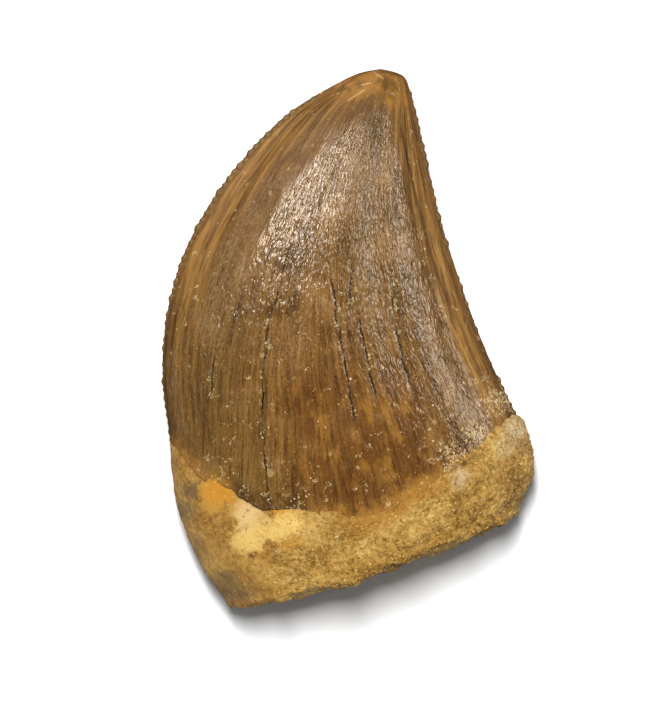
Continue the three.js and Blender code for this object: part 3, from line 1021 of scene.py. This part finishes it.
def limeMarks(tree, maps):
    # Bent threads and flecks of lime
    crusted = total(tree, maps["crusts"], product(tree, maps["lime"], 0.3))
    threads = ease(tree, maths(tree, "ABSOLUTE", centred(tree, maps["threads"])), 0.035, 0.012)
    threads = product(tree, threads, ease(tree, crusted, 0.62, 0.68))
    flecks = ease(tree, total(tree, maps["flecks"], product(tree, maps["lime"], 0.17)), 0.68, 0.72)
    return largest(tree, flecks, threads)


def crackMarks(tree, maps):
    # Dark drying cracks with ragged sides
    ragged = product(tree, centred(tree, maps["ragged"]), 0.22)
    offset = total(tree, maths(tree, "ABSOLUTE", maps["crackSide"]), ragged)
    return product(tree, ease(tree, offset, 0.1, 0.02), maps["crackDark"])


def enamelChipped(tree, look, maps, colour):
    ragged = shifted(tree, maps["places"], 0.35, 3.0)
    for centre, reach in enamelChips:
        chip = product(tree, spot(tree, ragged, centre, reach * 0.8, reach), maps["outer"], 0.8)
        colour = blend(tree, chip, colour, look["chip"])
    return colour


def setEnamelGloss(tree, shader, look, maps, zones, lime, crack):
    # Glossy and finely wrinkled, but duller on the smooth parts, on lime and in the cracks
    smoothDull = product(tree, remainder(tree, zones["wrinkled"]), 0.2)
    dull = largest(tree, smoothDull, product(tree, lime, 0.4), product(tree, crack, 0.5))
    rough = mapped(tree, maps["streaks"], *look["roughness"])
    tree.links.new(total(tree, rough, dull), shader.inputs["Roughness"])
    crinkle = product(tree, maps["crinkle"], mapped(tree, zones["wrinkled"], 0.15, 1.0))
    height = total(tree, crinkle, product(tree, maps["hairs"], 0.1), product(tree, crack, -0.4))
    normal = bumped(tree, height, look["wrinkleHeight"])
    tree.links.new(normal, shader.inputs["Normal"])
    tree.links.new(normal, shader.inputs["Coat Normal"])
    tree.links.new(zones["wrinkled"], shader.inputs["Coat Weight"])
    shader.inputs["Specular IOR Level"].default_value = look["specular"]
    shader.inputs["Coat Roughness"].default_value = look["coatRoughness"]
    shader.inputs["Coat IOR"].default_value = look["coatIor"]


def makeEnamel(look):
    material, tree, shader = newMaterial("fossilEnamel")
    maps = enamelMaps(tree)
    zones = {**enamelZones(tree, maps), **tintedZones(tree, maps)}
    lime, crack = limeMarks(tree, maps), crackMarks(tree, maps)
    colour = enamelGround(tree, look, maps, zones)
    colour = enamelEdges(tree, look, maps, zones, colour)
    colour = enamelLines(tree, look, maps, zones, colour)
    colour = enamelEnding(tree, look, maps, colour)
    scratched = product(tree, ease(tree, maps["scratch"], 0.08, 0.02), 0.6)
    colour = blend(tree, scratched, colour, look["scratch"])
    # painted sheen of the finest wrinkles
    colour = paintedWrinkleSheen(tree, look, maps, zones, colour)
    colour = blend(tree, lime, colour, look["lime"])
    colour = enamelChipped(tree, look, maps, colour)
    colour = blend(tree, crack, colour, look["crack"])
    tree.links.new(colour, shader.inputs["Base Color"])
    setEnamelGloss(tree, shader, look, maps, zones, lime, crack)
    return material


# Root: smooth orange to pale dentine, the rest covered in ochre sand

rootLook = {
    "sand": rgb(0.335, 0.177, 0.033),
    "sandDark": rgb(0.115, 0.054, 0.010),
    "sandPale": rgb(0.57, 0.375, 0.115),
    "rusty": rgb(0.33, 0.145, 0.02),
    "orange": rgb(0.52, 0.22, 0.018),
    "yellow": rgb(0.42, 0.22, 0.035),
    "pale": rgb(0.66, 0.44, 0.13),
    "cream": rgb(0.62, 0.42, 0.17),
    "stain": rgb(0.13, 0.055, 0.012),
    "grey": rgb(0.125, 0.085, 0.04),
    "lime": rgb(0.66, 0.52, 0.30),
    "grainHeight": 0.00014,  # metres
}
# Spots of the bare patch and of the whole root, on the outer side: colour, place, how far it is full, how far
# it reaches and its strength
patchSpots = [
    ("orange", (-9.5, -11.4), 0.0, 2.3, 1.0),
    ("rusty", (-8.3, -12.2), 0.0, 1.0, 0.5),
    ("yellow", (-9.8, -13.0), 0.0, 1.5, 0.8),
    ("pale", (-7.3, -14.9), 0.3, 2.3, 0.85),
    ("pale", (-5.6, -14.2), 0.2, 1.5, 0.85),
    ("pale", (-4.1, -13.8), 0.3, 1.6, 0.9),
    ("cream", (-7.3, -13.1), 0.4, 1.8, 0.9),
    ("rusty", (-9.0, -13.9), 0.0, 0.8, 0.6),
    ("orange", (-4.4, -12.5), 0.0, 0.9, 0.7),
    ("orange", (-6.3, -12.3), 0.0, 0.9, 0.7),
    ("orange", (-5.2, -12.8), 0.0, 0.9, 0.7),
    ("stain", (-5.65, -12.9), 0.1, 0.7, 0.85),
    ("rusty", (-5.5, -13.5), 0.0, 0.5, 0.8),
    ("rusty", (-4.4, -15.2), 0.0, 0.8, 0.5),
]
rootSpots = [
    ("stain", (-7.3, -12.8), 0.02, 0.16, 0.8),
    ("stain", (-7.6, -13.25), 0.02, 0.14, 0.8),
    ("stain", (-6.95, -16.15), 0.05, 0.32, 0.8),
    ("stain", (-7.4, -14.2), 0.02, 0.12, 0.6),
    ("grey", (-11.45, -11.3), 0.25, 0.8, 0.75),
    ("grey", (-11.9, -12.9), 0.2, 1.1, 0.55),
    ("grey", (-10.9, -15.5), 0.2, 1.0, 0.4),
    ("grey", (-8.9, -18.0), 0.3, 1.4, 0.6),
    ("grey", (-7.8, -18.9), 0.3, 1.3, 0.6),
    ("grey", (-0.5, -14.6), 0.1, 0.8, 0.3),
    ("sandPale", (-2.6, -14.4), 0.2, 1.5, 0.5),
    ("lime", (12.6, -6.9), 0.0, 1.5, 0.8),
    ("lime", (11.6, -8.3), 0.0, 1.1, 0.5),
    ("lime", (8.4, -10.3), 0.0, 1.1, 0.5),
]
smallestRagged = 0.5  # spots that reach less far than this keep a nearly round shape


def sandColour(tree, look, places, grains):
    # Ochre sand. Rusty dentine shows through where it is thin and in the middle of the enamel's end.
    clouds = noise(tree, places, 0.33, 4.0, 0.6)
    tone = total(tree, product(tree, grains, 0.65), product(tree, clouds, 0.35))
    colour = ramp(tree, tone, [(0.39, look["sandDark"]), (0.49, look["sand"]), (0.62, look["sandPale"])])
    thin = ease(tree, total(tree, layer(tree, "sandy"), centred(tree, clouds)), 0.75, 0.35)
    colour = blend(tree, product(tree, thin, 0.4), colour, look["rusty"])
    across = layer(tree, "across")
    seam = ease(tree, maths(tree, "ABSOLUTE", layer(tree, "pastLine")), 0.035, 0.012)
    middle = product(tree, ease(tree, across, 0.35, 0.5), ease(tree, across, 0.8, 0.68))
    return blend(tree, product(tree, seam, middle, 0.7), colour, look["rusty"])


def dentineColour(tree, look, places, streaky, grains):
    # Bare dentine in spots of orange, yellow and cream, with rusty veins and pale speckles
    colour = look["yellow"]
    for name, centre, full, reach, strength in patchSpots:
        share = product(tree, spot(tree, streaky, centre, full, reach), strength)
        colour = blend(tree, share, colour, look[name])
    veins = ease(tree, noise(tree, places, 1.6, 6.0, 0.75, 0.8), 0.5, 0.66)
    colour = blend(tree, product(tree, veins, 0.55), colour, look["rusty"])
    speckle = product(tree, ease(tree, grains, 0.56, 0.66), 0.5)
    return blend(tree, speckle, colour, look["pale"])


def makeSandyDentine(look):
    material, tree, shader = newMaterial("sandyDentine")
    places, outer = millimetrePlaces(tree), layer(tree, "outer")
    fine = shifted(tree, places, 0.3, 5.0)
    ragged = shifted(tree, shifted(tree, places, 1.6, 0.9), 0.7, 3.0)
    streaky = shifted(tree, ragged, 1.6, 3.4)
    grains = noise(tree, places, 2.6, 5.0, 0.8)
    patchy = product(tree, noise(tree, places, 0.8, 6.0, 0.72), 2.0)
    smoothPart = ease(tree, total(tree, layer(tree, "bare"), patchy, product(tree, grains, 0.6)), 1.5, 2.1)
    sand = sandColour(tree, look, places, grains)
    colour = blend(tree, smoothPart, sand, dentineColour(tree, look, places, streaky, grains))
    for name, centre, full, reach, strength in rootSpots:
        where = fine if reach < smallestRagged else streaky
        share = product(tree, spot(tree, where, centre, full, reach), outer, strength)
        colour = blend(tree, share, colour, look[name])
    tree.links.new(colour, shader.inputs["Base Color"])
    tree.links.new(mapped(tree, smoothPart, 0.8, 0.45), shader.inputs["Roughness"])
    height = product(tree, noise(tree, places, 5.0, 4.0, 0.75), mapped(tree, smoothPart, 1.0, 0.55))
    tree.links.new(bumped(tree, height, look["grainHeight"]), shader.inputs["Normal"])
    return material


def makeGrained(name, stops, roughness):
    # One colour for each grain, from its own tone
    material, tree, shader = newMaterial(name)
    cloudy = product(tree, centred(tree, noise(tree, millimetrePlaces(tree), 4.0, 2.0)), 0.3)
    tone = total(tree, layer(tree, "tone"), cloudy)
    tree.links.new(ramp(tree, tone, stops), shader.inputs["Base Color"])
    shader.inputs["Roughness"].default_value = roughness
    return material


def makeEdgeEnamel(look):
    # Worn enamel of the denticles
    material, tree, shader = newMaterial("edgeEnamel")
    places = millimetrePlaces(tree)
    tone = noise(tree, places, 0.9, 4.0, 0.65)
    colour = ramp(tree, tone, [(0.34, look["brown"]), (0.52, look["olive"]), (0.68, look["gold"])])
    tree.links.new(colour, shader.inputs["Base Color"])
    shader.inputs["Roughness"].default_value = look["edgeRoughness"]
    normal = bumped(tree, noise(tree, places, 6.0, 3.0), look["wrinkleHeight"], 0.6)
    tree.links.new(normal, shader.inputs["Normal"])
    return material


crown.data.materials.append(makeEnamel(enamelLook))
root.data.materials.append(makeSandyDentine(rootLook))
print("materials ready")


# What repeats is made by Geometry Nodes: denticles along the edges, grains and flakes on the surface

def newTree(name, inputs):
    tree = bpy.data.node_groups.new(name, "GeometryNodeTree")
    tree.interface.new_socket("Geometry", in_out="INPUT", socket_type="NodeSocketGeometry")
    for label, kind in inputs.items():
        tree.interface.new_socket(label, in_out="INPUT", socket_type="NodeSocket" + kind)
    tree.interface.new_socket("Geometry", in_out="OUTPUT", socket_type="NodeSocketGeometry")
    return tree, tree.nodes.new("NodeGroupInput").outputs


def openSocket(sockets, name):
    return next(socket for socket in sockets if socket.enabled and socket.name == name)


def namedNumber(tree, name, kind="FLOAT"):
    node = addNode(tree, "GeometryNodeInputNamedAttribute", {"Name": name}, data_type=kind)
    return openSocket(node.outputs, "Attribute")


def randomNumber(tree, low, high, seed, kind="FLOAT"):
    node = addNode(tree, "FunctionNodeRandomValue", data_type=kind)
    for name, value in {"Min": low, "Max": high, "Seed": seed}.items():
        socket = openSocket(node.inputs, name)
        if isinstance(value, bpy.types.NodeSocket):
            tree.links.new(value, socket)
        else:
            socket.default_value = value
    return openSocket(node.outputs, "Value")


def endTree(tree, geometry, material):
    realized = addNode(tree, "GeometryNodeRealizeInstances", {"Geometry": geometry}).outputs[0]
    dressing = {"Geometry": realized, "Material": material}
    dressed = addNode(tree, "GeometryNodeSetMaterial", dressing).outputs[0]
    tree.links.new(dressed, tree.nodes.new("NodeGroupOutput").inputs["Geometry"])


def denticleTree():
    inputs = {"Length": "Float", "Breadth": "Float", "Thickness": "Float", "Uneven": "Float", "Seed": "Int",
              "Material": "Material"}
    tree, given = newTree("denticleRow", inputs)
    lengths = {0: given["Length"], 1: given["Breadth"], 2: given["Thickness"]}
    size = addNode(tree, "ShaderNodeCombineXYZ", lengths).outputs[0]
    ball = addNode(tree, "GeometryNodeMeshIcoSphere", {"Radius": 0.5, "Subdivisions": 2}).outputs["Mesh"]
    bead = addNode(tree, "GeometryNodeTransform", {"Geometry": ball, "Scale": size}).outputs[0]
    bead = addNode(tree, "GeometryNodeSetShadeSmooth", {"Geometry": bead}).outputs[0]
    path, facing = namedNumber(tree, "path", "FLOAT_VECTOR"), namedNumber(tree, "facing", "FLOAT_VECTOR")
    turned = addNode(tree, "FunctionNodeAlignRotationToVector", {"Vector": path}, axis="X").outputs[0]
    turning = {"Rotation": turned, "Vector": facing}
    turned = addNode(tree, "FunctionNodeAlignRotationToVector", turning, axis="Y", pivot_axis="X").outputs[0]
    low, high = remainder(tree, given["Uneven"]), total(tree, given["Uneven"], 1.0)
    scale = product(tree, namedNumber(tree, "size"), randomNumber(tree, low, high, given["Seed"]))
    points = addNode(tree, "GeometryNodeMeshToPoints", {"Mesh": given["Geometry"]}).outputs[0]
    row = {"Points": points, "Instance": bead, "Rotation": turned, "Scale": scale}
    endTree(tree, addNode(tree, "GeometryNodeInstanceOnPoints", row).outputs[0], given["Material"])
    return tree


def scatterTree():
    inputs = {"Share": "String", "Per Area": "Float", "Smallest": "Float", "Largest": "Float",
              "Flatness": "Float", "Seed": "Int", "Material": "Material"}
    tree, given = newTree("looseGrains", inputs)
    seed = given["Seed"]
    density = product(tree, namedNumber(tree, given["Share"]), given["Per Area"])
    surface = {"Mesh": given["Geometry"], "Seed": seed}
    spread = addNode(tree, "GeometryNodeDistributePointsOnFaces", surface)
    tree.links.new(density, openSocket(spread.inputs, "Density"))
    grain = addNode(tree, "GeometryNodeMeshIcoSphere", {"Radius": 0.5, "Subdivisions": 1}).outputs["Mesh"]
    spin = randomNumber(tree, (-0.5, -0.5, -3.1), (0.5, 0.5, 3.1), seed, "FLOAT_VECTOR")
    turning = {"Rotation": spread.outputs["Rotation"], "Rotate By": spin}
    turned = addNode(tree, "FunctionNodeRotateRotation", turning, rotation_space="LOCAL").outputs[0]
    stretch = randomNumber(tree, (0.65, 0.65, 0.65), (1.35, 1.35, 1.35), 5, "FLOAT_VECTOR")
    flat = addNode(tree, "ShaderNodeCombineXYZ", {0: 1.0, 1: 1.0, 2: given["Flatness"]}).outputs[0]
    shape = vectors(tree, "MULTIPLY", stretch, flat)
    shape = scaled(tree, shape, randomNumber(tree, given["Smallest"], given["Largest"], 9))
    row = {"Points": spread.outputs["Points"], "Instance": grain, "Rotation": turned, "Scale": shape}
    grains = addNode(tree, "GeometryNodeInstanceOnPoints", row).outputs[0]
    tone = {"Geometry": grains, "Name": "tone", "Value": randomNumber(tree, 0.0, 1.0, 3)}
    kind = {"data_type": "FLOAT", "domain": "INSTANCE"}
    toned = addNode(tree, "GeometryNodeStoreNamedAttribute", tone, **kind).outputs[0]
    endTree(tree, toned, given["Material"])
    return tree


def grown(name, source, tree, values):
    # Runs a tree on a copy of the source's mesh and keeps the result as a plain mesh
    piece = bpy.data.objects.new(name, source.data.copy())
    scene.collection.objects.link(piece)
    modifier = piece.modifiers.new(name, "NODES")
    modifier.node_group = tree
    for item in tree.interface.items_tree:
        if item.in_out == "INPUT" and item.name in values:
            modifier[item.identifier] = values[item.name]
    bpy.context.view_layer.update()
    evaluated = piece.evaluated_get(bpy.context.evaluated_depsgraph_get())
    mesh = bpy.data.meshes.new_from_object(evaluated)
    piece.modifiers.remove(modifier)
    before, piece.data = piece.data, mesh
    bpy.data.meshes.remove(before)
    mesh.name = name
    print(name + ":", len(mesh.polygons), "faces")
    return piece


denticles = {
    "frontEdge": {"count": 49, "from": 0.25, "to": 0.89, "side": 0.0},
    "rearEdge": {"count": 38, "from": 0.2, "to": 0.92, "side": 1.0},
    "length": 0.98,
    "breadth": 1.0,
    "thickness": 0.5,
    "standsOut": 0.08,
    "uneven": 0.14,
    "smallerUpTo": 0.1,  # the first ones on an edge grow to full size over this share of the length
    "smallest": 0.7,
    "seed": 2,
}


def denticleRow(name, form):
    # Place, direction along the edge, direction out of it and size of each denticle on one edge
    row = form[name]
    along = mix(row["from"], row["to"], (np.arange(row["count"]) + 0.5) / row["count"])
    side = np.full(along.shape, row["side"])
    here = plainPoint(side, along, 0.0 * along)
    ahead = plainPoint(side, along + 0.002, 0.0 * along)
    other = plainPoint(1.0 - side, along, 0.0 * along)
    facing = (here - other) * [1.0, 1.0, 0.0]
    facing /= np.linalg.norm(facing, axis=-1, keepdims=True)
    path = ahead - here
    path /= np.linalg.norm(path, axis=-1, keepdims=True)
    facing -= path * (facing * path).sum(axis=-1, keepdims=True)
    facing /= np.linalg.norm(facing, axis=-1, keepdims=True)
    size = mix(form["smallest"], 1.0, smooth(along, row["from"], row["from"] + form["smallerUpTo"]))
    place = here + facing * (form["standsOut"] - form["breadth"] / 2.0 * size[:, None])
    return place, path, facing, size


def makeDenticles(form):
    rows = [denticleRow(name, form) for name in ("frontEdge", "rearEdge")]
    places, paths, facings, sizes = (np.concatenate(values) for values in zip(*rows))
    mesh = bpy.data.meshes.new("denticlePlaces")
    spots = (places + [*toothForm["toOrigin"], 0.0]) * millimetre
    mesh.from_pydata(spots.tolist(), [], [])
    for layerName, values in {"path": paths, "facing": facings}.items():
        mesh.attributes.new(layerName, "FLOAT_VECTOR", "POINT").data.foreach_set("vector", values.ravel())
    mesh.attributes.new("size", "FLOAT", "POINT").data.foreach_set("value", sizes)
    source = bpy.data.objects.new("denticlePlaces", mesh)
    values = {
        "Length": form["length"] * millimetre,
        "Breadth": form["breadth"] * millimetre,
        "Thickness": form["thickness"] * millimetre,
        "Uneven": form["uneven"],
        "Seed": form["seed"],
        "Material": makeEdgeEnamel(enamelLook),
    }
    piece = grown("denticles", source, denticleTree(), values)
    bpy.data.objects.remove(source)
    return piece


looseGrains = {
    "sandGrains": {
        "on": "sandy", "perArea": 9.0, "smallest": 0.08, "largest": 0.22, "flatness": 0.7, "seed": 4,
        "roughness": 0.5,
    },
    "limeFlakes": {
        "on": "lime", "perArea": 6.0, "smallest": 0.05, "largest": 0.2, "flatness": 0.3, "seed": 6,
        "roughness": 0.5,
    },
}
grainLook = {
    "sandGrains": [
        (0.05, rgb(0.23, 0.115, 0.02)), (0.3, rgb(0.36, 0.19, 0.034)),
        (0.8, rgb(0.47, 0.27, 0.06)), (1.0, rgb(0.56, 0.38, 0.14)),
    ],
    "limeFlakes": [
        (0.1, rgb(0.30, 0.18, 0.06)), (0.5, rgb(0.42, 0.29, 0.12)), (0.9, rgb(0.55, 0.43, 0.24)),
    ],
}


def scatter(name, source, tree):
    form = looseGrains[name]
    values = {
        "Share": form["on"],
        "Per Area": form["perArea"] / millimetre ** 2,
        "Smallest": form["smallest"] * millimetre,
        "Largest": form["largest"] * millimetre,
        "Flatness": form["flatness"],
        "Seed": form["seed"],
        "Material": makeGrained(name, grainLook[name], form["roughness"]),
    }
    return grown(name, source, tree, values)


edgeTeeth = makeDenticles(denticles)
scattering = scatterTree()
sandGrains = scatter("sandGrains", root, scattering)
limeFlakes = scatter("limeFlakes", crown, scattering)

for piece in (crown, root, edgeTeeth, sandGrains, limeFlakes):
    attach(piece, "root")
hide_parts("tooth")
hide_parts("tooth")
